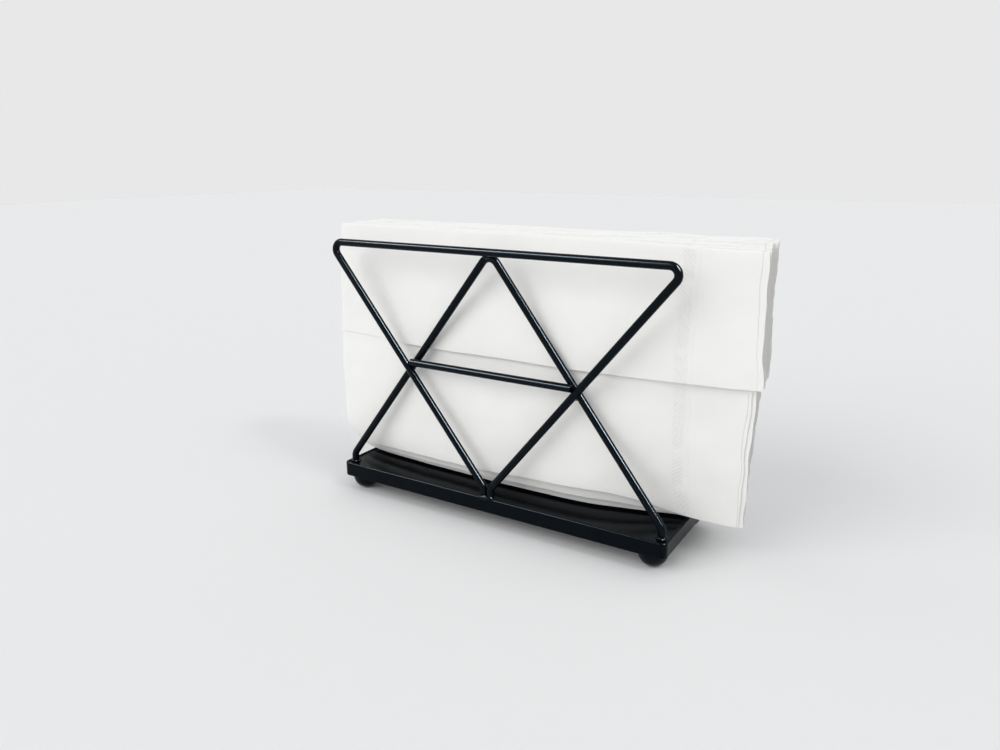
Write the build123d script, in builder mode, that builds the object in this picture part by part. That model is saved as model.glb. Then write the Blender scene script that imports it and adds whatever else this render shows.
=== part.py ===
"""Wire napkin dispenser: a low tray on ball feet, two open wire panels and the napkins between them.

The origin is on the table under the middle of the tray. +X runs along the tray to the right, -Y is the
front, +Z is up. All sizes are in millimetres.
"""

import os
from math import hypot, sqrt

from build123d import *

os.makedirs("parts", exist_ok=True)

# Tray: a shallow upside-down pan whose floor lies a little below its rim.
tray_length = 181.0
tray_depth = 61.0
tray_height = 7.4
tray_wall = 1.4
floor_thickness = 1.2
floor_recess = 0.6
tray_corner_radius = 3.0
rim_outer_radius = 0.7
rim_inner_radius = 0.5
skirt_edge_radius = 0.4

# Feet: balls with a small flat to stand on and a flat seat under the tray floor.
foot_diameter = 13.7
foot_flat_diameter = 3.2
foot_skirt_clearance = 0.1
tray_top = 15.1
foot_weld_reach = 2.4
foot_weld_taper = 30

# Wire panels, seen from the front. Heights are centreline heights above the tray's rim. The leg wire runs
# just behind the triangle wire, and the welds bridge the hair's breadth between them. The V's straight legs
# would meet at the top bar's height plus apex_rise, and the crossbar lies crossbar_rise above the crossings.
wire_diameter = 3.6
wire_gap = 0.02
top_bar_height = 117.2
top_bar_span = 185.8
top_corner_radius = 3.8
tip_height = 2.4
tip_bend_radius = 4.0
stub_gap = 0.1
apex_rise = 0.0
apex_radius = 4.7
leg_span = 173.6
leg_stub_height = 4.2
leg_bend_radius = 5.0
crossbar_rise = 2.8
crossbar_end_gap = 0.05

# Weld beads at the wire joints.
base_weld_radius = 3.0
tip_weld_radius = 3.6
tip_weld_drop = 0.4
crossing_weld_radius = 2.7
apex_weld_radius = 2.5

# Napkins: folded paper, standing on the tray's rim one behind another.
napkin_count = 12
napkin_length = 216.0
napkin_height = 124.8
napkin_overhang = 7.4
napkin_clearance = 0.3
napkin_spacing = 0.35
stack_front_gap = 2.6
stack_back_gap = 0.3
stack_back_bow = 0.8
front_left_bow = 4.5
front_right_bow = 15.8

wire_radius = wire_diameter / 2
foot_radius = foot_diameter / 2
floor_top = tray_top - floor_recess
floor_bottom = floor_top - floor_thickness
skirt_bottom = tray_top - tray_height
outer_wire_y = tray_depth / 2 - wire_radius
inner_wire_y = outer_wire_y - wire_diameter - wire_gap
top_bar_z = tray_top + top_bar_height
tip_z = tray_top + tip_height
apex_z = top_bar_z + apex_rise

# Half widths of the two slanting runs: each grows by its slope per millimetre of height.
outer_slope = (top_bar_span / 2) / (top_bar_z - tip_z)
leg_bend_z = tray_top + leg_stub_height
inner_slope = (leg_span / 2) / (apex_z - leg_bend_z)
crossing_z = (apex_z * inner_slope + tip_z * outer_slope) / (inner_slope + outer_slope)
crossing_x = (crossing_z - tip_z) * outer_slope
crossbar_z = crossing_z + crossbar_rise

foot_centre_z = sqrt(foot_radius**2 - (foot_flat_diameter / 2) ** 2)
foot_reach_at_skirt = sqrt(foot_radius**2 - (skirt_bottom - foot_centre_z) ** 2)
foot_inset = tray_wall + foot_skirt_clearance + foot_reach_at_skirt
foot_x = tray_length / 2 - foot_inset
foot_y = tray_depth / 2 - foot_inset
foot_seat_radius = sqrt(foot_radius**2 - (floor_bottom - foot_centre_z) ** 2)

panel_planes = {"front": 1, "rear": -1}
feet = {
    "front_left": (-foot_x, -foot_y),
    "front_right": (foot_x, -foot_y),
    "rear_left": (-foot_x, foot_y),
    "rear_right": (foot_x, foot_y),
}


def save(builder, name):
    """Labels a finished piece and writes it to its own file."""
    builder.part.label = name
    export_step(builder.part, f"parts/{name}.step")


def upright_plane(side, distance):
    """A plane that faces the front, at a distance from the tray's middle: side 1 is the front panel's."""
    return Plane.XZ.offset(side * distance)


def bent_wire(plane, corners, radii):
    """A round wire that follows straight runs joined by bends."""
    with BuildPart() as wire:
        with BuildLine(plane) as route:
            FilletPolyline(*corners, radius=radii)
        with BuildSketch(Plane(origin=route.line @ 0, z_dir=route.line % 0)):
            Circle(wire_radius)
        sweep(path=route.line)
    return wire


def bead(centres, radius, neighbours, lowest=0):
    """A group of weld beads: balls of weld metal above a level, less the pieces that they join."""
    with BuildPart() as beads:
        with Locations(*centres):
            Sphere(radius)
        split(bisect_by=Plane.XY.offset(lowest), keep=Keep.TOP)
        for neighbour in neighbours:
            add(neighbour.part, mode=Mode.SUBTRACT)
    return beads


# Tray
with BuildPart() as tray:
    with BuildSketch(Plane.XY.offset(skirt_bottom)):
        RectangleRounded(tray_length, tray_depth, tray_corner_radius)
    extrude(amount=tray_height)
    with BuildSketch(Plane.XY.offset(tray_top)):
        RectangleRounded(
            tray_length - 2 * tray_wall,
            tray_depth - 2 * tray_wall,
            tray_corner_radius - tray_wall,
        )
    extrude(amount=-floor_recess, mode=Mode.SUBTRACT)
    with BuildSketch(Plane.XY.offset(skirt_bottom)):
        RectangleRounded(
            tray_length - 2 * tray_wall,
            tray_depth - 2 * tray_wall,
            tray_corner_radius - tray_wall,
        )
    extrude(amount=floor_bottom - skirt_bottom, mode=Mode.SUBTRACT)
    rim = tray.faces().filter_by(Axis.Z).sort_by(Axis.Z)[-1]
    fillet(rim.outer_wire().edges(), radius=rim_outer_radius)
    rim = tray.faces().filter_by(Axis.Z).sort_by(Axis.Z)[-1]
    fillet(rim.inner_wires()[0].edges(), radius=rim_inner_radius)
    skirt_edge = tray.faces().filter_by(Axis.Z).sort_by(Axis.Z)[0]
    fillet(skirt_edge.outer_wire().edges(), radius=skirt_edge_radius)
save(tray, "base_tray")

# Ball feet, each with a flat to stand on and a flat seat under the floor
foot_builders = []
for place, (x, y) in feet.items():
    with BuildPart() as foot:
        with Locations((x, y, foot_centre_z)):
            Sphere(foot_radius)
        split(bisect_by=Plane.XY.offset(floor_bottom), keep=Keep.BOTTOM)
        split(bisect_by=Plane.XY, keep=Keep.TOP)
    save(foot, f"foot_{place}")
    foot_builders.append(foot)

# Weld rings between the feet and the floor
with BuildPart() as foot_welds:
    with BuildSketch(Plane.XY.offset(floor_bottom)):
        with Locations(*feet.values()):
            Circle(foot_seat_radius + foot_weld_reach)
    extrude(amount=-foot_weld_reach, taper=foot_weld_taper)
    for foot in foot_builders:
        add(foot.part, mode=Mode.SUBTRACT)
save(foot_welds, "foot_welds")

# The two wire panels
stub_x = wire_radius + stub_gap / 2
stub_bend_z = tip_z + stub_x / outer_slope
triangle_corners = [
    (-stub_x, tray_top),
    (-stub_x, stub_bend_z),
    (-top_bar_span / 2, top_bar_z),
    (top_bar_span / 2, top_bar_z),
    (stub_x, stub_bend_z),
    (stub_x, tray_top),
]
triangle_radii = [tip_bend_radius, top_corner_radius, top_corner_radius, tip_bend_radius]
legs_corners = [
    (-leg_span / 2, floor_top),
    (-leg_span / 2, leg_bend_z),
    (0, apex_z),
    (leg_span / 2, leg_bend_z),
    (leg_span / 2, floor_top),
]
legs_radii = [leg_bend_radius, apex_radius, leg_bend_radius]

outer_lean = hypot(1, outer_slope)
crossbar_low_z = crossbar_z - wire_radius
crossbar_half = (crossbar_low_z - tip_z) * outer_slope - wire_radius * outer_lean - crossbar_end_gap
apex_top_z = apex_z - apex_radius * (hypot(1, inner_slope) / inner_slope - 1)

for panel, side in panel_planes.items():
    outer_plane = upright_plane(side, outer_wire_y)
    inner_plane = upright_plane(side, inner_wire_y)
    outer_y = -side * outer_wire_y
    inner_y = -side * inner_wire_y
    touch_y = (outer_y + inner_y) / 2

    triangle = bent_wire(outer_plane, triangle_corners, triangle_radii)
    save(triangle, f"{panel}_triangle_wire")

    legs = bent_wire(inner_plane, legs_corners, legs_radii)
    save(legs, f"{panel}_leg_wire")

    with BuildPart() as crossbar:
        with BuildSketch(Plane.YZ.offset(-crossbar_half)):
            with Locations((outer_y, crossbar_z)):
                Circle(wire_radius)
        extrude(amount=2 * crossbar_half)
    save(crossbar, f"{panel}_crossbar")

    tip_centre = (0, outer_y, tray_top - tip_weld_drop)
    tip_weld = bead([tip_centre], tip_weld_radius, [triangle, tray], lowest=floor_bottom)
    save(tip_weld, f"{panel}_tip_weld")

    leg_ends = [(-leg_span / 2, inner_y, floor_top), (leg_span / 2, inner_y, floor_top)]
    leg_welds = bead(leg_ends, base_weld_radius, [legs, tray], lowest=floor_bottom)
    save(leg_welds, f"{panel}_leg_welds")

    crossings = [(-crossing_x, touch_y, crossing_z), (crossing_x, touch_y, crossing_z)]
    crossing_welds = bead(crossings, crossing_weld_radius, [triangle, legs, crossbar])
    save(crossing_welds, f"{panel}_crossing_welds")

    apex_centre = (0, touch_y, (top_bar_z + apex_top_z) / 2)
    apex_weld = bead([apex_centre], apex_weld_radius, [triangle, legs])
    save(apex_weld, f"{panel}_apex_weld")

# Napkins. Each bows towards the front in its middle, the front one most and the last one hardly, and
# the right ends, which hang over the tray, stand further back than the left ends. They fill the room
# between the panels, and stand closest together at their right ends.
napkin_left = napkin_overhang - napkin_length / 2
napkin_right = napkin_overhang + napkin_length / 2
napkin_bottom = tray_top + napkin_clearance
stack_front = -inner_wire_y + wire_radius + stack_front_gap
stack_back = inner_wire_y - base_weld_radius - stack_back_gap - stack_back_bow
bow_step = (front_right_bow - stack_back_bow) / (napkin_count - 1)
stack_spacing = (napkin_count - 1) * (bow_step + napkin_spacing)
napkin_thickness = (stack_back - stack_front - stack_spacing) / napkin_count
pitch = napkin_thickness + bow_step + napkin_spacing
for number in range(napkin_count):
    looseness = 1 - number / (napkin_count - 1)
    middle_y = stack_front + number * pitch
    left_y = middle_y + stack_back_bow + (front_left_bow - stack_back_bow) * looseness
    right_y = middle_y + stack_back_bow + (front_right_bow - stack_back_bow) * looseness
    with BuildPart() as napkin:
        with BuildSketch(Plane.XY.offset(napkin_bottom)):
            with BuildLine():
                front = ThreePointArc((napkin_left, left_y), (0, middle_y), (napkin_right, right_y))
                back = ThreePointArc(
                    (napkin_left, left_y + napkin_thickness),
                    (0, middle_y + napkin_thickness),
                    (napkin_right, right_y + napkin_thickness),
                )
                Line(front @ 0, back @ 0)
                Line(front @ 1, back @ 1)
            make_face()
        extrude(amount=napkin_height)
    save(napkin, f"napkin_{number + 1:02d}")
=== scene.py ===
"""Wire napkin dispenser: gloss-coated steel holder with weld beads, and a row of folded paper napkins.

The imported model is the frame. The wires, tray and feet keep their shapes and get a coating, the weld
beads are modelled anew as lumps of coated weld metal, and every napkin is modelled as one folded sheet of
paper. Lengths are in metres, unless a comment says millimetres.
"""

from math import cos, pi, radians, sin

import bpy
import numpy as np
from bpy.props import FloatProperty, FloatVectorProperty, IntProperty, PointerProperty
from mathutils import Matrix, Vector


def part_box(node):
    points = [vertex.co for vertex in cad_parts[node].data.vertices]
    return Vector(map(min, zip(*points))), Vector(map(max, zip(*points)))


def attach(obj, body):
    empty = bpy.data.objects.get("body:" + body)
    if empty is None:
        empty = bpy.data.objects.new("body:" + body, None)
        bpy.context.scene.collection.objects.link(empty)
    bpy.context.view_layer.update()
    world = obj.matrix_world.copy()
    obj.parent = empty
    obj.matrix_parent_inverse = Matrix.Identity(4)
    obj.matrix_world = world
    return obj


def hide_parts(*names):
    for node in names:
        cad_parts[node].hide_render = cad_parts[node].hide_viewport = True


bl_info = {
    "name": "Wire Napkin Dispenser",
    "version": (1, 0, 0),
    "blender": (4, 5, 0),
    "location": "3D View > Sidebar > Napkins",
    "description": "Coats the wire holder, adds its weld beads and folds its paper napkins",
    "category": "Object",
}

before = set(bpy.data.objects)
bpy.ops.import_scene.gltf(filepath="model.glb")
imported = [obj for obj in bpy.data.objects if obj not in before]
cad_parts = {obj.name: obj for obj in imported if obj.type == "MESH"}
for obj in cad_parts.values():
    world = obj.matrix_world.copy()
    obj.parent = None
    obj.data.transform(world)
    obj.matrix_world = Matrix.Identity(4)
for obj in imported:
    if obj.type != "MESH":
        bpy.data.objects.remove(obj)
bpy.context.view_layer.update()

MM = 0.001
PANELS = {"front": -1, "rear": 1}
NAPKINS = sorted(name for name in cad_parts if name.startswith("napkin_"))
HOLDER_BODY = "holder"

# Uneven swells: how many sine waves are summed, and what brings their sum to about -1 to 1.
WAVE_COUNT = 7
WAVE_PEAK = 1.2


# ------------------------------------------------------------------------------------ helpers


def centre_of(node):
    """The middle of a node's box."""
    low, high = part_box(node)
    return (Vector(low) + Vector(high)) / 2


def deselect_all():
    """Leaves nothing selected, so that an operator acts only on what it makes."""
    if bpy.context.object and bpy.context.object.mode != "OBJECT":
        bpy.ops.object.mode_set(mode="OBJECT")
    bpy.ops.object.select_all(action="DESELECT")


def select_only(pieces):
    """Selects some objects, the first of them active."""
    deselect_all()
    for piece in pieces:
        piece.select_set(True)
    bpy.context.view_layer.objects.active = pieces[0]


def settle_in_mesh(piece):
    """Moves an object's place into its mesh, so that the object itself stands at the origin."""
    select_only([piece])
    bpy.ops.object.transform_apply(location=True, rotation=True, scale=True)


def apply_modifiers(piece):
    """Applies every modifier, in order."""
    select_only([piece])
    for modifier in list(piece.modifiers):
        bpy.ops.object.modifier_apply(modifier=modifier.name)


def set_material(piece, material):
    """Gives a piece one material all over."""
    if not piece.material_slots:
        piece.data.materials.append(material)
    for material_slot in piece.material_slots:
        material_slot.material = material


def smooth_step(value):
    """0 below 0, 1 above 1, and a smooth S between."""
    value = np.clip(value, 0.0, 1.0)
    return value * value * (3.0 - 2.0 * value)


def rise(value, start, span):
    """0 at a start, then a smooth S up to 1 over a span, which is negative if it rises the other way."""
    return smooth_step((value - start) / span)


def smooth_line(points):
    """A function that follows given points (x, y) along one smooth line, level beyond its ends."""
    xs = np.array([point[0] for point in points], float)
    ys = np.array([point[1] for point in points], float)
    slopes = np.gradient(ys, xs)

    def line(x):
        x = np.clip(x, xs[0], xs[-1])
        after = np.clip(np.searchsorted(xs, x), 1, len(xs) - 1)
        before = after - 1
        width = xs[after] - xs[before]
        share = (x - xs[before]) / width
        rest = 1.0 - share
        return (
            ys[before] * rest * rest * (1.0 + 2.0 * share)
            + slopes[before] * width * share * rest * rest
            + ys[after] * share * share * (3.0 - 2.0 * share)
            - slopes[after] * width * share * share * rest
        )

    return line


def gentle_waves(seed, shortest, longest):
    """A function of (a, b) that sums a few seeded sine waves, about -1 to 1, for slow uneven swells."""
    chance = np.random.default_rng(seed)
    lengths = chance.uniform(shortest, longest, WAVE_COUNT)
    turns = chance.uniform(0.0, 2.0 * pi, WAVE_COUNT)
    starts = chance.uniform(0.0, 2.0 * pi, WAVE_COUNT)

    def swell(a, b=0.0):
        total = 0.0
        for length, turn, start in zip(lengths, turns, starts):
            total = total + np.sin(2.0 * pi * (a * cos(turn) + b * sin(turn)) / length + start)
        return total / WAVE_COUNT**0.5 / WAVE_PEAK

    return swell


# ------------------------------------------------------------------------------------ shader maths


class Wire:
    """A number flowing through a material's nodes. Arithmetic on it adds Math nodes."""

    def __init__(self, finish, socket):
        self.finish = finish
        self.socket = socket

    def math(self, operation, *others):
        return self.finish.node("ShaderNodeMath", {"operation": operation}, [self, *others])

    def __add__(self, other):
        return self.math("ADD", other)

    def __radd__(self, other):
        return self.math("ADD", other)

    def __sub__(self, other):
        return self.math("SUBTRACT", other)

    def __mul__(self, other):
        return self.math("MULTIPLY", other)

    def __rmul__(self, other):
        return self.math("MULTIPLY", other)

    def __truediv__(self, other):
        return self.math("DIVIDE", other)

    def between(self, low, high, soft):
        """1 where the number lies from low to high, with edges that fade over soft."""
        above = self.finish.ramp(self, low - soft, low)
        below = self.finish.ramp(self, high + soft, high)
        return above * below


class Finish:
    """A surface finish: one Principled shader and what feeds it."""

    def __init__(self, name, colour, roughness, constants):
        self.material = bpy.data.materials.new(name)
        self.material.use_nodes = True
        self.tree = self.material.node_tree
        self.shader = next(node for node in self.tree.nodes if node.type == "BSDF_PRINCIPLED")
        self.shader.inputs["Base Color"].default_value = (*colour, 1.0)
        self.shader.inputs["Roughness"].default_value = roughness
        for name, value in constants.items():
            self.shader.inputs[name].default_value = value
        self.material.diffuse_color = (*colour, 1.0)

    def node(self, kind, settings=None, inputs=None, output=0):
        """Adds a node. Its settings are made first, then its inputs, by order or by name."""
        node = self.tree.nodes.new(kind)
        for name, value in (settings or {}).items():
            setattr(node, name, value)
        given = inputs or {}
        for key, value in given.items() if isinstance(given, dict) else enumerate(given):
            if isinstance(value, Wire):
                self.tree.links.new(value.socket, node.inputs[key])
            else:
                node.inputs[key].default_value = value
        return Wire(self, node.outputs[output])

    def ramp(self, value, start, end):
        """0 at start and 1 at end, clamped beyond them, whichever of the two is larger."""
        settings = {"clamp": True, "interpolation_type": "SMOOTHSTEP"}
        inputs = {"Value": value, "From Min": start, "From Max": end}
        inputs.update({"To Min": 0.0, "To Max": 1.0})
        if start > end:
            inputs.update({"From Min": end, "From Max": start, "To Min": 1.0, "To Max": 0.0})
        return self.node("ShaderNodeMapRange", settings, inputs)

    def place(self):
        """Object coordinates, in metres."""
        return self.node("ShaderNodeTexCoord", output="Object")

    def sheet_place(self):
        """The piece's own flat coordinates, in metres, split into across and along."""
        flat = self.node("ShaderNodeUVMap", {"uv_map": "flat_sheet"})
        across = self.node("ShaderNodeSeparateXYZ", inputs=[flat], output="X")
        along = self.node("ShaderNodeSeparateXYZ", inputs=[flat], output="Y")
        return flat, across, along

    def noise(self, place, size, detail=2.0, roughness=0.5):
        """Cloudy noise from 0 to 1 whose lumps are about size metres across."""
        inputs = {"Vector": place, "Scale": 1.0 / size, "Detail": detail, "Roughness": roughness}
        return self.node("ShaderNodeTexNoise", inputs=inputs)

    def mixed(self, share, first, second):
        """A colour between two others."""
        node = self.tree.nodes.new("ShaderNodeMix")
        node.data_type = "RGBA"
        self.tree.links.new(share.socket, node.inputs["Factor"])
        colours = [socket for socket in node.inputs if socket.type == "RGBA"]
        for socket, colour in zip(colours, (first, second)):
            if isinstance(colour, Wire):
                self.tree.links.new(colour.socket, socket)
            else:
                socket.default_value = (*colour, 1.0)
        result = next(socket for socket in node.outputs if socket.type == "RGBA")
        return Wire(self, result)

    def feed(self, name, value):
        """Links a value to one of the shader's sockets."""
        self.tree.links.new(value.socket, self.shader.inputs[name])

    def bump(self, height, depth):
        """Raises the surface by height times depth metres."""
        inputs = {"Height": height, "Distance": depth, "Strength": 1.0}
        self.feed("Normal", self.node("ShaderNodeBump", inputs=inputs))


def shaded(colour, factor):
    """A colour made darker or lighter."""
    return tuple(channel * factor for channel in colour)


# The coating's slow swells and its clouds are so many times the size of its orange peel.
SWELL_SIZE = 6
CLOUD_SIZE = 12
# A cloud makes the coating this much lighter, and clouds and peel make its gloss this much blurrier.
CLOUD_LIGHTENING = 1.7
CLOUD_BLUR = 0.08
PEEL_BLUR = 0.04
# Heights, as shares of the peel depth: the peel's, and that of the lumps on plain steel and on a weld.
PEEL_HEIGHT = 0.35
STEEL_LUMPS = 0.8
WELD_LUMPS = 2.0


def coating(name, settings, gloss, lumps):
    """Gloss black stoved coating with a faint orange peel and cloudy gloss."""
    constants = {"Specular IOR Level": gloss, "Specular Tint": (*settings.gloss_colour, 1.0)}
    finish = Finish(name, settings.coat_colour, settings.coat_roughness, constants)
    place = finish.place()
    peel = finish.noise(place, settings.peel_size, detail=1.0)
    swell = finish.noise(place, SWELL_SIZE * settings.peel_size, detail=1.0)
    cloud = finish.noise(place, CLOUD_SIZE * settings.peel_size, detail=3.0)
    lighter = shaded(settings.coat_colour, CLOUD_LIGHTENING)
    finish.feed("Base Color", finish.mixed(cloud, settings.coat_colour, lighter))
    blur = CLOUD_BLUR * (cloud - 0.5) + PEEL_BLUR * peel
    finish.feed("Roughness", settings.coat_roughness + blur)
    finish.bump(PEEL_HEIGHT * peel + lumps * swell, settings.peel_depth)
    return finish.material


PAPER_ROUGHNESS = 0.92
# Sizes of the paper's fibres, of its mottling and of the worn patches in its embossing.
FIBRE_SIZE = 0.7 * MM
MOTTLE_SIZE = 12 * MM
WEAR_SIZE = 9 * MM
# Heights, as shares of the emboss depth.
FIBRE_HEIGHT = 0.10
MOTTLE_HEIGHT = 0.25
EMBOSS_HEIGHT = 0.45
CREASE_HEIGHT = 0.25
# The mottling's darker tone, the painted shade that darkens the embossed ticks' recesses, and how much of
# that painted shade shows.
MOTTLE_SHADE = 0.985
TICK_PAINTED_SHADE = 0.93
TICK_SHADE_SHOWING = 0.3
# The ticks stand in columns. A tick takes up one span of its column's width and one of its spacing.
TICK_COLUMNS = 3
COLUMN_SPAN = {"low": 0.12, "high": 0.84, "soft": 0.08}
TICK_SPAN = {"low": 0.15, "high": 0.50, "soft": 0.12}
# The embossing is worn away where the noise is below the first level, and whole above the second.
WEAR_LEVELS = (0.30, 0.48)
BAND_FADE = 0.4 * MM
# A fine crease runs beside the embossed band.
CREASE_PLACE = 2.2 * MM
CREASE_WIDTH = 0.2 * MM
CREASE_FADE = 0.5 * MM


def paper(settings):
    """Soft white tissue: fibres, faint mottling, and a band of slanted embossed ticks near the cut edge,
    with painted shade darkening the ticks.
    """
    constants = {"Specular IOR Level": 0.05, "Sheen Weight": 0.15, "Sheen Roughness": 0.5}
    finish = Finish("tissue_paper", settings.paper_colour, PAPER_ROUGHNESS, constants)
    flat, across, along = finish.sheet_place()
    reach = across.math("ABSOLUTE")
    fibres = finish.noise(flat, FIBRE_SIZE, detail=4.0, roughness=0.65)
    mottle = finish.noise(flat, MOTTLE_SIZE, detail=3.0)

    band_left = settings.band_place
    band_right = band_left + settings.band_width
    band = reach.between(band_left, band_right, BAND_FADE)
    column = (reach - band_left) / (settings.band_width / TICK_COLUMNS)
    column = column.math("FRACT").between(**COLUMN_SPAN)
    tick = ((along + reach) / settings.tick_spacing).math("FRACT").between(**TICK_SPAN)
    worn = finish.ramp(finish.noise(flat, WEAR_SIZE, detail=1.0), *WEAR_LEVELS)
    emboss = band * column * tick * worn
    crease_left = band_right + CREASE_PLACE
    crease = reach.between(crease_left, crease_left + CREASE_WIDTH, CREASE_FADE)

    mottled = finish.mixed(mottle, shaded(settings.paper_colour, MOTTLE_SHADE), settings.paper_colour)
    # Painted shade: the embossed ticks are darkened in colour where their recesses lie.
    painted_tick_shade = shaded(settings.paper_colour, TICK_PAINTED_SHADE)
    finish.feed("Base Color", finish.mixed(emboss * TICK_SHADE_SHOWING, mottled, painted_tick_shade))
    raised = FIBRE_HEIGHT * fibres + MOTTLE_HEIGHT * mottle
    finish.bump(raised - EMBOSS_HEIGHT * emboss - CREASE_HEIGHT * crease, settings.emboss_depth)
    return finish.material


# ------------------------------------------------------------------------------------ settings


def length_setting(name, description, default):
    """A setting that is a length."""
    return FloatProperty(name=name, description=description, default=default, unit="LENGTH")


def angle_setting(name, description, default):
    """A setting that is an angle, given in degrees."""
    return FloatProperty(name=name, description=description, default=radians(default), unit="ROTATION")


def colour_setting(name, description, default):
    """A setting that is a colour."""
    return FloatVectorProperty(name=name, description=description, default=default, subtype="COLOR")


def amount_setting(name, description, default):
    """A setting that is a plain number, not below 0."""
    return FloatProperty(name=name, description=description, default=default, min=0.0)


class CoatSettings(bpy.types.PropertyGroup):
    """The holder's coating and its weld beads."""

    coat_colour: colour_setting("Coat colour", "Colour of the coating", (0.0008, 0.0014, 0.0024))
    coat_roughness: FloatProperty(
        name="Coat roughness",
        description="How blurred the coating's gloss is",
        default=0.15,
        min=0.0,
        max=1.0,
    )
    gloss_colour: colour_setting("Gloss colour", "Tint of the coating's gloss", (0.68, 0.86, 1.0))
    wire_gloss: amount_setting("Wire gloss", "Strength of the gloss on wires", 0.12)
    tray_gloss: amount_setting("Tray gloss", "Strength of the gloss on the tray", 0.08)
    peel_size: length_setting("Peel size", "Size of the orange peel's lumps", 1.6 * MM)
    peel_depth: length_setting("Peel depth", "Depth of the coating's lumps", 0.05 * MM)
    bead_swell: length_setting("Bead swell", "How far a weld bead's lumps stand out", 0.55 * MM)
    bead_ripple: length_setting("Bead ripple", "Size of a weld bead's lumps", 1.9 * MM)


class NapkinSettings(bpy.types.PropertyGroup):
    """The paper napkins: their cut, their folds and their finish."""

    leaf_width: length_setting("Leaf width", "From the left fold to the cut edge", 216 * MM)
    flap_height: length_setting("Flap height", "From the top fold down to the flap's edge", 58 * MM)
    cut_width: length_setting("Cut width", "Width of the unfolded napkin", 432 * MM)
    cut_length: length_setting("Cut length", "Length of the unfolded napkin", 305 * MM)
    paper_thickness: length_setting("Paper thickness", "Thickness of one leaf", 0.15 * MM)
    leaf_gap: length_setting("Leaf gap", "Between the middles of two leaves", 0.22 * MM)
    fine_step: length_setting("Fine step", "Mesh spacing on the outer napkins", 2.4 * MM)
    coarse_step: length_setting("Coarse step", "Mesh spacing on the inner napkins", 4.5 * MM)
    paper_colour: colour_setting("Paper colour", "Colour of the paper", (0.868, 0.860, 0.838))
    band_place: length_setting("Band place", "From the left fold to the embossed band", 185.6 * MM)
    band_width: length_setting("Band width", "Width of the embossed band", 4.8 * MM)
    tick_spacing: length_setting("Tick spacing", "Between two embossed ticks", 1.9 * MM)
    emboss_depth: length_setting("Emboss depth", "Depth of the embossing", 0.25 * MM)
    seed: IntProperty(name="Seed", description="Settles the paper's unevenness", default=7)


class StageSettings(bpy.types.PropertyGroup):
    """The floor, the room's light and the camera."""

    floor_colour: colour_setting("Floor colour", "Colour of the floor", (0.845, 0.847, 0.845))
    floor_size: length_setting("Floor size", "Width of the floor", 6.0)
    room_colour: colour_setting("Room colour", "Colour of the light from all round", (0.97, 0.985, 1.0))
    room_strength: amount_setting("Room strength", "Strength of the light from all round", 0.72)
    backdrop_colour: colour_setting("Backdrop colour", "Seen behind the floor", (0.806, 0.806, 0.806))
    lens: FloatProperty(
        name="Lens",
        description="Focal length",
        default=28.26,
        subtype="DISTANCE_CAMERA",
    )
    camera_place: FloatVectorProperty(
        name="Camera place",
        description="Where the camera stands",
        default=(0.1894, -0.32106, 0.1735),
        subtype="XYZ",
    )
    camera_heading: angle_setting("Camera heading", "Turn to the left of +Y", 31.89)
    camera_dip: angle_setting("Camera dip", "Tilt below the horizontal", 15.63)
    camera_roll: angle_setting("Camera roll", "Roll about the view", -0.19)


# ------------------------------------------------------------------------------------ weld beads


# Half sizes of the beads in X, Y and Z, in millimetres.
TIP_BEAD = (4.3, 2.6, 1.5)
LEG_BEAD = (2.7, 2.6, 1.4)
CROSSING_BEAD = (2.3, 2.0, 2.7)
APEX_BEAD = (2.9, 1.8, 1.6)
# How far the tip's bead stands out and up, how deep a leg's sits, and the crossing solids' radius.
TIP_OUT = 0.5 * MM
TIP_UP = 0.2 * MM
LEG_DOWN = 0.3 * MM
CROSSING_RADIUS = 2.7 * MM


def weld_lump(name, centre, half_sizes, settings):
    """One bead of weld metal: a ball squashed to its seat, then swollen into uneven ripples."""
    deselect_all()
    bpy.ops.mesh.primitive_ico_sphere_add(subdivisions=5, radius=1.0, location=centre)
    bead = bpy.context.object
    bead.name = name
    bpy.ops.object.mode_set(mode="EDIT")
    bpy.ops.mesh.select_all(action="SELECT")
    sizes = [half_size * MM for half_size in half_sizes]
    bpy.ops.transform.resize(value=sizes, center_override=centre)
    bpy.ops.object.mode_set(mode="OBJECT")
    settle_in_mesh(bead)
    ripples = bpy.data.textures.new(name + "_ripples", "CLOUDS")
    ripples.noise_scale = settings.bead_ripple
    ripples.noise_depth = 1
    swell = bead.modifiers.new("ripples", "DISPLACE")
    swell.texture = ripples
    swell.texture_coords = "LOCAL"
    swell.mid_level = 0.5
    swell.strength = 2 * settings.bead_swell
    apply_modifiers(bead)
    select_only([bead])
    bpy.ops.object.shade_smooth()
    return bead


def weld_beads(name, places, half_sizes, settings, material):
    """All the beads of one node as one piece, in place of the node."""
    lumps = []
    for number, place in enumerate(places):
        lumps.append(weld_lump(f"{name}_{number}", place, half_sizes, settings))
    select_only(lumps)
    if len(lumps) > 1:
        bpy.ops.object.join()
    piece = bpy.context.object
    piece.name = f"{name}_bead"
    set_material(piece, material)
    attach(piece, HOLDER_BODY)
    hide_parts(name)


def both_sides(point):
    """A point and its mirror image in the holder's middle."""
    return [(-point[0], point[1], point[2]), (point[0], point[1], point[2])]


# ------------------------------------------------------------------------------------ napkins


# The front napkin across the holder: place along it and distance behind the front wires, in millimetres,
# at its lower edge, half way up and at its top.
LOW_LINE = [(-101, 7.4), (-62, 6.3), (-28, 4.8), (6, 3.9), (32, 4.7)]
LOW_LINE += [(52, 7.3), (70, 13.0), (90, 19.6), (118, 24.2)]
MIDDLE_LINE = [(-101, 9.0), (-70, 4.8), (-40, 2.9), (0, 2.6)]
MIDDLE_LINE += [(42, 2.8), (66, 5.5), (90, 10.0), (118, 15.0)]
HIGH_LINE = [(-101, 13.6), (-60, 13.5), (-20, 14.2), (20, 15.2)]
HIGH_LINE += [(60, 13.8), (90, 12.6), (118, 12.6)]

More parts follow.
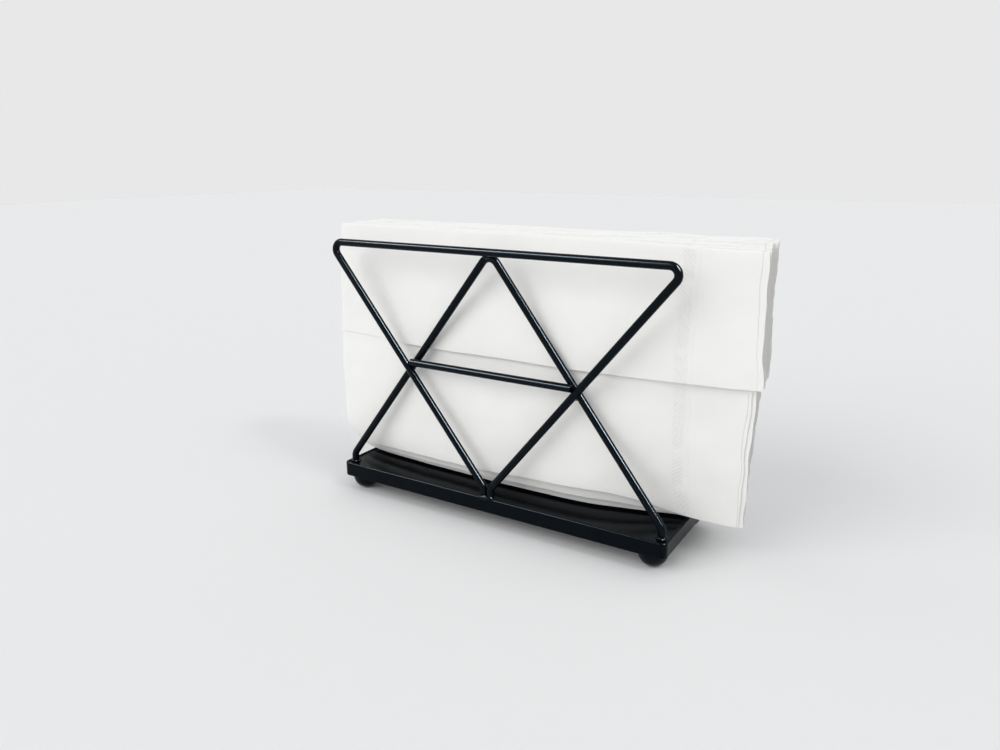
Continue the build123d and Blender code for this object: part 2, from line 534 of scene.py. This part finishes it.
# How far the front napkin's lower edge stands above the tray's rim along its length, in millimetres.
LIFT_LINE = [(-101, 4.0), (-70, 7.0), (-20, 8.0), (35, 10.2)]
LIFT_LINE += [(62, 9.2), (78, 5.2), (90, 1.8), (104, 0.0)]
# The first two napkins lift by these shares of that line, and the others not at all.
LIFT_SHARES = (1.0, 0.45, 0.0)

# The paper's long and short waves: seed, shortest and longest, and how high they stand.
SWELL_WAVES = (3, 38 * MM, 85 * MM)
RIPPLE_WAVES = (11, 14 * MM, 26 * MM)
SWELL_HEIGHT = 0.55 * MM
RIPPLE_HEIGHT = 0.16 * MM
# The rear napkin: how high its long waves stand and how far they are shifted, and the room behind it.
REAR_SWELL = 0.4 * MM
REAR_SHIFT = 50 * MM
REAR_ROOM = 1.3 * MM

# How each napkin differs from the row, in millimetres: what the front one has, and the range within which
# chance sets the others. In turn: its top below the row's, its flap's edge up, and its cut edges and left
# fold to the right.
TOP_DROP = (1.4, 0.3, 0.8)
FLAP_RISE = (2.0, -1.5, 1.5)
EDGE_SHIFT = (0.0, -0.8, 0.4)
LEFT_SHIFT = (0.0, -0.4, 0.8)
# The same for all: the back leaf's edge below the top fold, and the lower edge above the rim.
BACK_DROP = (1.5, 3.0)
BASE_LIFT = (0.0, 0.4)
# The front napkin's ways fade over so many napkins.
FRONT_FEW = 3

# The folds: rows of vertices round each, the top fold's radius and how much wider the front napkin's is,
# both in millimetres, and the bottom fold's radius.
BEND_ROWS = 8
TOP_RADIUS = 0.50
FRONT_EXTRA = 0.25
BOTTOM_RADIUS = 0.38 * MM
# Over the last third towards the cut edges the two leaves part by this share. The higher the power, the
# nearer the cut edges all of their unevenness lies.
LEAF_SPREAD = 0.10
SPREAD_SPAN = (2 / 3, 1 / 3)
EDGE_POWER = 12

# Where the left folds lie along the holder, and the cut edges of panels and flap, in millimetres.
LEFT_FOLD = -100.7
PANEL_EDGE = 114.3
FLAP_EDGE = 115.8
# How much further right some cut edges reach, in millimetres: the panels' outer leaf, the back panel,
# the flap's inner leaf and the flap's own edge.
OUTER_REACH = 1.2
BACK_REACH = 1.6
INNER_REACH = 2.6
FLAP_REACH = 1.4
# How far the cut edges draw in, in millimetres: low down, towards the rear, and low at the rear.
LOW_DRAW = 3.0
REAR_DRAW = 2.8
REAR_LOW_DRAW = 1.8
# The cut edges' fine waves: height in millimetres, shortest and longest, and their shift between leaves.
EDGE_WAVE = 0.45
EDGE_WAVES = (6 * MM, 30 * MM)
LEAF_SHIFT = 20 * MM
# Where the above set in, each as a start and a span: behind the front panel, down the flap from its own
# edge and past it, and down the height, of which the low part is a share.
BACK_SPAN = (0.2 * MM, 0.5 * MM)
FLAP_EDGE_SPAN = (40 * MM, -40 * MM)
FLAP_END = 20 * MM
REAR_LOW_SPAN = (1.25, -1.0)
LOW_PART = 0.55

# The lower left corner curls in to the right and, in the front napkin most, back. The curl grows
# downwards from the span's start, and fades along the holder over the length.
CURL = 9.0 * MM
CURL_SPAN = (40 * MM, -34 * MM)
CURL_LENGTH = 16 * MM
# The top folds are uneven by the slack, and the front one slopes down to the right, in millimetres.
SLACK = 0.3
SLACK_WAVES = (30 * MM, 90 * MM)
TOP_SLOPE = 0.9
# The lower edge's lift fades out this many times as fast as the height grows.
LIFT_FADE = 1.7

# The front flap, in millimetres: how far it is pressed flat at its left, and how far its edge springs
# forwards at its left, more in its middle and most at its right.
PRESSED = 1.05
SPRING_LEFT = 0.15
SPRING_MIDDLE = 0.3
SPRING_RIGHT = 0.8
# Where along the holder each of them sets in, and how much of the flap from its edge is loose.
PRESSED_SPAN = (-45 * MM, -30 * MM)
MIDDLE_SPAN = (-75 * MM, 25 * MM)
RIGHT_SPAN = (52 * MM, 50 * MM)
LOOSE_PART = 0.9

# What is added to the seed for the waves of the cut edges and of the top folds.
EDGE_SEED = 40
SLACK_SEED = 80
# Edges of the paper sharper than this stay sharp.
SMOOTH_ANGLE = radians(50)


class StackShape:
    """Where the row of napkins stands: the front one's bow, the rear one's, and the floor under them."""

    def __init__(self):
        first_low, first_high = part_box(NAPKINS[0])
        self.left = first_low[0]
        self.right = first_high[0]
        self.bottom = first_low[2]
        self.top = first_high[2]
        self.wire_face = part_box("front_leg_wire")[1][1]
        self.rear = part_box(NAPKINS[-1])[1][1] - REAR_ROOM
        self.low_line = self.line(LOW_LINE)
        self.middle_line = self.line(MIDDLE_LINE)
        self.high_line = self.line(HIGH_LINE)
        self.lift_line = smooth_line([(x * MM, lift * MM) for x, lift in LIFT_LINE])
        self.swell = gentle_waves(*SWELL_WAVES)
        self.ripple = gentle_waves(*RIPPLE_WAVES)

    def line(self, points):
        """A line across the front napkin: place along it, and distance behind the front wires, in mm."""
        return smooth_line([(x * MM, self.wire_face + depth * MM) for x, depth in points])

    def height_share(self, z):
        """0 at the napkins' lower edge, 1 at their top."""
        return (z - self.bottom) / (self.top - self.bottom)

    def front(self, x, z):
        """The front napkin's own middle surface."""
        share = self.height_share(z)
        low = self.low_line(x)
        middle = self.middle_line(x)
        high = self.high_line(x)
        # One parabola through the three heights, the middle one half way up.
        bow = low * (1 - share) * (1 - 2 * share) + 4 * middle * share * (1 - share)
        bow = bow + high * share * (2 * share - 1)
        wave = SWELL_HEIGHT * self.swell(x, z) + RIPPLE_HEIGHT * self.ripple(x, z)
        return bow + wave

    def surface(self, place, x, z):
        """The middle surface of a napkin, place 0 in front to 1 at the rear."""
        front = self.front(x, z)
        rear = self.rear + REAR_SWELL * self.swell(x + REAR_SHIFT, z)
        return front + (rear - front) * place


def fold_rows(flap_edge, top, bottom, back_edge, top_radius, bottom_radius, step):
    """The napkin's section: up the flap, over the top fold, down, round the bottom fold and up the back.

    Each row is (depth, height, depth and height of the unit arrow out of the sheet's outer face). The
    depth is counted from the front panel, behind which it grows.
    """
    rows = []

    def straight(depth, start, end, facing):
        count = max(2, round(abs(end - start) / step))
        for share in np.linspace(0.0, 1.0, count + 1):
            rows.append((depth, start + (end - start) * share, facing, 0.0))

    def bend(depth, height, radius, side):
        for share in np.linspace(0.0, 1.0, BEND_ROWS + 2)[1:-1]:
            angle = pi - side * pi * share
            out_depth, out_height = cos(angle), sin(angle)
            row = (depth + radius * out_depth, height + radius * out_height)
            rows.append((*row, side * out_depth, side * out_height))

    straight(-2 * top_radius, flap_edge, top - top_radius, -1.0)
    bend(-top_radius, top - top_radius, top_radius, 1)
    straight(0.0, top - top_radius, bottom + bottom_radius, 1.0)
    bend(bottom_radius, bottom + bottom_radius, bottom_radius, -1)
    straight(2 * bottom_radius, bottom + bottom_radius, back_edge, -1.0)
    return np.array(rows)


def fold_columns(width, half_gap, step):
    """Across the doubled sheet: the outer leaf from cut edge to left fold, and the inner leaf back.

    Each column is (reach from the left fold, side of the sheet from 1 outer to -1 inner, flat place
    across the sheet).
    """
    count = max(4, round(width / step))
    reaches = np.linspace(width, half_gap, count + 1)
    columns = [(reach, 1.0, reach) for reach in reaches]
    for share in np.linspace(0.0, 1.0, BEND_ROWS)[1:-1]:
        angle = pi / 2 - pi * share
        columns.append((half_gap * (1.0 - cos(angle)), sin(angle), half_gap * sin(angle)))
    columns += [(reach, -1.0, -reach) for reach in reversed(reaches)]
    return np.array(columns)


def flat_grid(name, columns, rows):
    """A grid primitive with the given number of vertices, and each vertex's column and row."""
    deselect_all()
    bpy.ops.mesh.primitive_grid_add(x_subdivisions=columns - 1, y_subdivisions=rows - 1, size=2.0)
    sheet = bpy.context.object
    sheet.name = name
    places = np.empty(3 * len(sheet.data.vertices))
    sheet.data.vertices.foreach_get("co", places)
    places = places.reshape(-1, 3)
    column = np.rint((places[:, 0] + 1.0) / 2.0 * (columns - 1)).astype(int)
    row = np.rint((places[:, 1] + 1.0) / 2.0 * (rows - 1)).astype(int)
    return sheet, column, row


class NapkinFolds:
    """The folds of one napkin, and where they take each vertex of its sheet."""

    def __init__(self, number, shape, settings):
        last = len(NAPKINS) - 1
        self.number = number
        self.shape = shape
        self.settings = settings
        self.place = number / last
        self.front = 1.0 - smooth_step(number / FRONT_FEW)
        self.chance = np.random.default_rng(settings.seed + number)
        top = shape.top - self.own(*TOP_DROP) * MM
        flap_edge = top - settings.flap_height + self.own(*FLAP_RISE) * MM
        back_edge = top - self.chance.uniform(*BACK_DROP) * MM
        self.top_radius = (TOP_RADIUS + FRONT_EXTRA * self.front) * MM
        outer = number in (0, 1, last - 1, last)
        step = settings.fine_step if outer else settings.coarse_step
        edges = (flap_edge, top, shape.bottom, back_edge)
        self.rows = fold_rows(*edges, self.top_radius, BOTTOM_RADIUS, step)
        self.columns = fold_columns(settings.leaf_width, settings.leaf_gap / 2, step)

    def own(self, front, low, high):
        """The front napkin's value, which gives way to one left to chance further back."""
        return front * self.front + self.chance.uniform(low, high) * (1 - self.front)

    def cut_edge(self, along, depth, side, share):
        """Where the cut edges lie along the holder, in millimetres."""
        wave = gentle_waves(self.settings.seed + EDGE_SEED + self.number, *EDGE_WAVES)
        on_flap = rise(along, self.settings.flap_height + FLAP_END, -FLAP_END)
        on_back = rise(depth, *BACK_SPAN)
        inner = (1.0 - side) / 2
        low = np.clip(1.0 - share / LOW_PART, 0.0, 1.0)
        panel = PANEL_EDGE + OUTER_REACH * (1.0 - inner) + BACK_REACH * on_back - LOW_DRAW * low
        flap = FLAP_EDGE + FLAP_REACH * rise(along, *FLAP_EDGE_SPAN) + INNER_REACH * inner
        edge = panel + (flap - panel) * on_flap
        edge = edge + EDGE_WAVE * wave(along, side * LEAF_SHIFT) + self.own(*EDGE_SHIFT)
        return edge - (REAR_DRAW + REAR_LOW_DRAW * rise(share, *REAR_LOW_SPAN)) * self.place

    def flap_shift(self, x, along):
        """How far the front flap lies back, where it is pressed flat, or forwards, where it springs."""
        loose_height = LOOSE_PART * self.settings.flap_height
        loose = rise(along, loose_height, -loose_height)
        painted_tick_shade = PRESSED * rise(x, *PRESSED_SPAN)
        springs = SPRING_LEFT + SPRING_MIDDLE * rise(x, *MIDDLE_SPAN)
        springs = springs + SPRING_RIGHT * rise(x, *RIGHT_SPAN)
        return (painted_tick_shade * loose - springs * loose**2) * MM

    def vertices(self, column, row):
        """Each vertex's place, and its place in the flat sheet, from its column and row."""
        shape = self.shape
        depth, height, face_depth, face_height = self.rows[row].T
        reach, side, flat_across = self.columns[column].T
        so_far = np.cumsum(np.hypot(*np.diff(self.rows[:, :2], axis=0).T))
        flat_along = np.concatenate([[0.0], so_far])[row]
        share = shape.height_share(height)

        leaf_width = self.settings.leaf_width
        edge = self.cut_edge(flat_along, depth, side, share) * MM
        curl = rise(height, *CURL_SPAN) ** 2
        left = (LEFT_FOLD + self.own(*LEFT_SHIFT)) * MM + CURL * curl
        near_edge = (reach / leaf_width) ** EDGE_POWER
        x = left + reach + (edge - left - leaf_width) * near_edge

        spread = 1.0 + LEAF_SPREAD * rise(reach / leaf_width, *SPREAD_SPAN)
        out = side * self.settings.leaf_gap / 2 * spread
        lift_share = LIFT_SHARES[min(self.number, len(LIFT_SHARES) - 1)]
        lift = lift_share * shape.lift_line(x) + self.chance.uniform(*BASE_LIFT) * MM
        z = height + out * face_height + lift * (1.0 - smooth_step(share * LIFT_FADE))
        slack = gentle_waves(self.settings.seed + SLACK_SEED + self.number, *SLACK_WAVES)
        slope = TOP_SLOPE * (1 - 2 * (x - shape.left) / (shape.right - shape.left))
        z = z + (SLACK * slack(x) + self.front * slope) * MM * smooth_step(share)

        y = shape.surface(self.place, x, z) + depth + out * face_depth
        y = y + (1 - self.place) * CURL * curl * np.exp((left - x) / CURL_LENGTH)
        if self.number == 0:
            y = y + self.flap_shift(x, flat_along) * (depth < -self.top_radius)
        return np.column_stack([x, y, z]), np.column_stack([flat_across, flat_along])


def fold_napkin(name, number, shape, settings, material):
    """One napkin: a sheet folded in half at its left and again at its bottom, with a flap over its top."""
    folds = NapkinFolds(number, shape, settings)
    sheet, column, row = flat_grid(f"{name}_paper", len(folds.columns), len(folds.rows))
    places, flat_places = folds.vertices(column, row)
    sheet.data.vertices.foreach_set("co", places.ravel())
    flat = sheet.data.uv_layers.active
    flat.name = "flat_sheet"
    corner = np.empty(len(sheet.data.loops), int)
    sheet.data.loops.foreach_get("vertex_index", corner)
    flat.data.foreach_set("uv", flat_places[corner].ravel())
    sheet.data.update()

    solidify = sheet.modifiers.new("paper", "SOLIDIFY")
    solidify.thickness = settings.paper_thickness
    solidify.offset = 0.0
    apply_modifiers(sheet)
    select_only([sheet])
    bpy.ops.object.shade_smooth_by_angle(angle=SMOOTH_ANGLE)
    set_material(sheet, material)
    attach(sheet, name)
    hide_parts(name)


# ------------------------------------------------------------------------------------ operators


class HOLDER_OT_coat(bpy.types.Operator):
    """Coat the tray, the wires and the feet"""

    bl_idname = "holder.coat"
    bl_label = "Coat the Holder"

    def execute(self, context):
        settings = context.scene.coat_settings
        wire_coat = coating("gloss_black_coating", settings, settings.wire_gloss, STEEL_LUMPS)
        tray_coat = coating("satin_black_coating", settings, settings.tray_gloss, STEEL_LUMPS)
        for name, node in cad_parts.items():
            if name not in NAPKINS:
                set_material(node, tray_coat if name == "base_tray" else wire_coat)
        return {"FINISHED"}


class HOLDER_OT_weld_beads(bpy.types.Operator):
    """Model the weld beads where the wires meet each other and the tray"""

    bl_idname = "holder.weld_beads"
    bl_label = "Weld Beads"

    def execute(self, context):
        settings = context.scene.coat_settings
        material = coating("coated_weld_metal", settings, settings.wire_gloss, WELD_LUMPS)
        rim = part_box("base_tray")[1][2]
        for panel, side in PANELS.items():
            outer_y = centre_of(f"{panel}_triangle_wire").y
            inner_y = centre_of(f"{panel}_leg_wire").y
            touch_y = (outer_y + inner_y) / 2
            wire_radius = abs(outer_y - inner_y) / 2
            leg_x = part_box(f"{panel}_leg_wire")[1][0] - wire_radius
            crossing_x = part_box(f"{panel}_crossing_welds")[1][0] - CROSSING_RADIUS
            crossing_z = centre_of(f"{panel}_crossing_welds").z
            apex_z = centre_of(f"{panel}_apex_weld").z
            welds = {
                "tip_weld": ([(0.0, outer_y + side * TIP_OUT, rim + TIP_UP)], TIP_BEAD),
                "leg_welds": (both_sides((leg_x, inner_y, rim - LEG_DOWN)), LEG_BEAD),
                "crossing_welds": (both_sides((crossing_x, touch_y, crossing_z)), CROSSING_BEAD),
                "apex_weld": ([(0.0, touch_y, apex_z)], APEX_BEAD),
            }
            for weld, (places, half_sizes) in welds.items():
                weld_beads(f"{panel}_{weld}", places, half_sizes, settings, material)
        return {"FINISHED"}


class NAPKIN_OT_fold(bpy.types.Operator):
    """Fold the row of paper napkins"""

    bl_idname = "napkin.fold"
    bl_label = "Fold the Napkins"

    def execute(self, context):
        settings = context.scene.napkin_settings
        material = paper(settings)
        shape = StackShape()
        for number, name in enumerate(NAPKINS):
            fold_napkin(name, number, shape, settings, material)
        return {"FINISHED"}


# The floor's roughness, what its grain adds and the grain's size.
FLOOR_ROUGHNESS = 0.80
GRAIN_ROUGHNESS = 0.1
GRAIN_SIZE = 4 * MM
# The camera's sensor, in millimetres, and the nearest that it sees.
SENSOR_WIDTH = 36.0
NEAREST_VIEW = 10 * MM
# Far lights: direction, angular width in degrees, strength. A broad one from the front left and a small,
# weaker one from high on the right.
FAR_LIGHTS = {
    "front_left": ((-0.38, -0.76, 0.53), 45.0, 1.12),
    "high_right": ((0.65, -0.09, 0.76), 8.0, 0.30),
}
# Panels that light the gloss only: direction, width, height, power in watts.
PANEL_DISTANCE = 3.0
GLOSS_PANELS = {
    "right_panel": ((0.70, -0.09, 0.71), 0.6, 1.7, 560.0),
    "left_panel": ((-0.52, -0.54, 0.66), 1.4, 0.5, 130.0),
}


class STAGE_OT_set(bpy.types.Operator):
    """Set the floor, the lights and the camera"""

    bl_idname = "stage.set"
    bl_label = "Set the Stage"

    def execute(self, context):
        settings = context.scene.stage_settings
        self.floor(settings)
        self.room(context, settings)
        for name, (direction, width, strength) in FAR_LIGHTS.items():
            self.far_light(name, direction, width, strength)
        for name, (direction, width, height, power) in GLOSS_PANELS.items():
            self.gloss_panel(name, direction, width, height, power)
        self.camera(settings)
        context.scene.view_settings.view_transform = "Standard"
        return {"FINISHED"}

    def floor(self, settings):
        """A flat, matt, pale floor."""
        deselect_all()
        bpy.ops.mesh.primitive_plane_add(size=settings.floor_size, location=(0.0, 0.0, 0.0))
        floor = bpy.context.object
        floor.name = "studio_floor"
        settle_in_mesh(floor)
        constants = {"Specular IOR Level": 0.0}
        finish = Finish("pale_paper_floor", settings.floor_colour, FLOOR_ROUGHNESS, constants)
        grain = finish.noise(finish.place(), GRAIN_SIZE)
        finish.feed("Roughness", FLOOR_ROUGHNESS + GRAIN_ROUGHNESS * grain)
        set_material(floor, finish.material)

    def room(self, context, settings):
        """Pale light from all round, and a plain backdrop that only the camera sees."""
        world = bpy.data.worlds.new("pale_room")
        context.scene.world = world
        world.use_nodes = True
        nodes, links = world.node_tree.nodes, world.node_tree.links
        room = next(node for node in nodes if node.type == "BACKGROUND")
        output = next(node for node in nodes if node.type == "OUTPUT_WORLD")
        room.inputs["Color"].default_value = (*settings.room_colour, 1.0)
        room.inputs["Strength"].default_value = settings.room_strength
        backdrop = nodes.new("ShaderNodeBackground")
        backdrop.inputs["Color"].default_value = (*settings.backdrop_colour, 1.0)
        seen = nodes.new("ShaderNodeLightPath")
        choice = nodes.new("ShaderNodeMixShader")
        links.new(seen.outputs["Is Camera Ray"], choice.inputs["Fac"])
        links.new(room.outputs["Background"], choice.inputs[1])
        links.new(backdrop.outputs["Background"], choice.inputs[2])
        links.new(choice.outputs["Shader"], output.inputs["Surface"])

    def aimed_light(self, name, kind, direction, distance):
        """A light that stands in some direction from the origin and shines at it."""
        aim = Vector(direction).normalized()
        bpy.ops.object.light_add(type=kind, location=distance * aim)
        light = bpy.context.object
        light.name = name
        light.rotation_euler = aim.to_track_quat("Z", "Y").to_euler()
        return light

    def far_light(self, name, direction, width, strength):
        """A distant light of some angular width in degrees, which shines evenly from a direction."""
        light = self.aimed_light(name, "SUN", direction, 1.0)
        light.data.angle = radians(width)
        light.data.energy = strength

    def gloss_panel(self, name, direction, width, height, power):
        """A lit panel that is only mirrored by glossy surfaces, and lights nothing else."""
        light = self.aimed_light(name, "AREA", direction, PANEL_DISTANCE)
        light.data.shape = "RECTANGLE"
        light.data.size = width
        light.data.size_y = height
        light.data.energy = power
        light.visible_diffuse = False

    def camera(self, settings):
        """The camera, from its place, heading, dip and roll."""
        bpy.ops.object.camera_add(location=settings.camera_place)
        camera = bpy.context.object
        camera.name = "main_camera"
        upright = Matrix.Rotation(pi / 2, 4, "X")
        dip = Matrix.Rotation(-settings.camera_dip, 4, "X")
        heading = Matrix.Rotation(settings.camera_heading, 4, "Z")
        roll = Matrix.Rotation(settings.camera_roll, 4, "Z")
        turn = heading @ dip @ upright @ roll
        camera.matrix_world = Matrix.Translation(settings.camera_place) @ turn
        camera.data.sensor_width = SENSOR_WIDTH
        camera.data.lens = settings.lens
        camera.data.clip_start = NEAREST_VIEW
        bpy.context.scene.camera = camera


class NAPKIN_PT_panel(bpy.types.Panel):
    """The operators and sizes of the napkin dispenser"""

    bl_label = "Wire Napkin Dispenser"
    bl_idname = "NAPKIN_PT_panel"
    bl_space_type = "VIEW_3D"
    bl_region_type = "UI"
    bl_category = "Napkins"

    def draw(self, context):
        for operator in OPERATORS:
            self.layout.operator(operator.bl_idname)
        for group in ("coat_settings", "napkin_settings", "stage_settings"):
            box = self.layout.box()
            settings = getattr(context.scene, group)
            for name in settings.__annotations__:
                box.prop(settings, name)


OPERATORS = (HOLDER_OT_coat, HOLDER_OT_weld_beads, NAPKIN_OT_fold, STAGE_OT_set)
CLASSES = (CoatSettings, NapkinSettings, StageSettings, *OPERATORS, NAPKIN_PT_panel)


def register():
    for each in CLASSES:
        bpy.utils.register_class(each)
    bpy.types.Scene.coat_settings = PointerProperty(type=CoatSettings)
    bpy.types.Scene.napkin_settings = PointerProperty(type=NapkinSettings)
    bpy.types.Scene.stage_settings = PointerProperty(type=StageSettings)


def unregister():
    del bpy.types.Scene.stage_settings
    del bpy.types.Scene.napkin_settings
    del bpy.types.Scene.coat_settings
    for each in reversed(CLASSES):
        bpy.utils.unregister_class(each)


def main():
    register()
    bpy.ops.holder.coat()
    bpy.ops.holder.weld_beads()
    bpy.ops.napkin.fold()
    bpy.ops.stage.set()


if __name__ == "__main__":
    main()
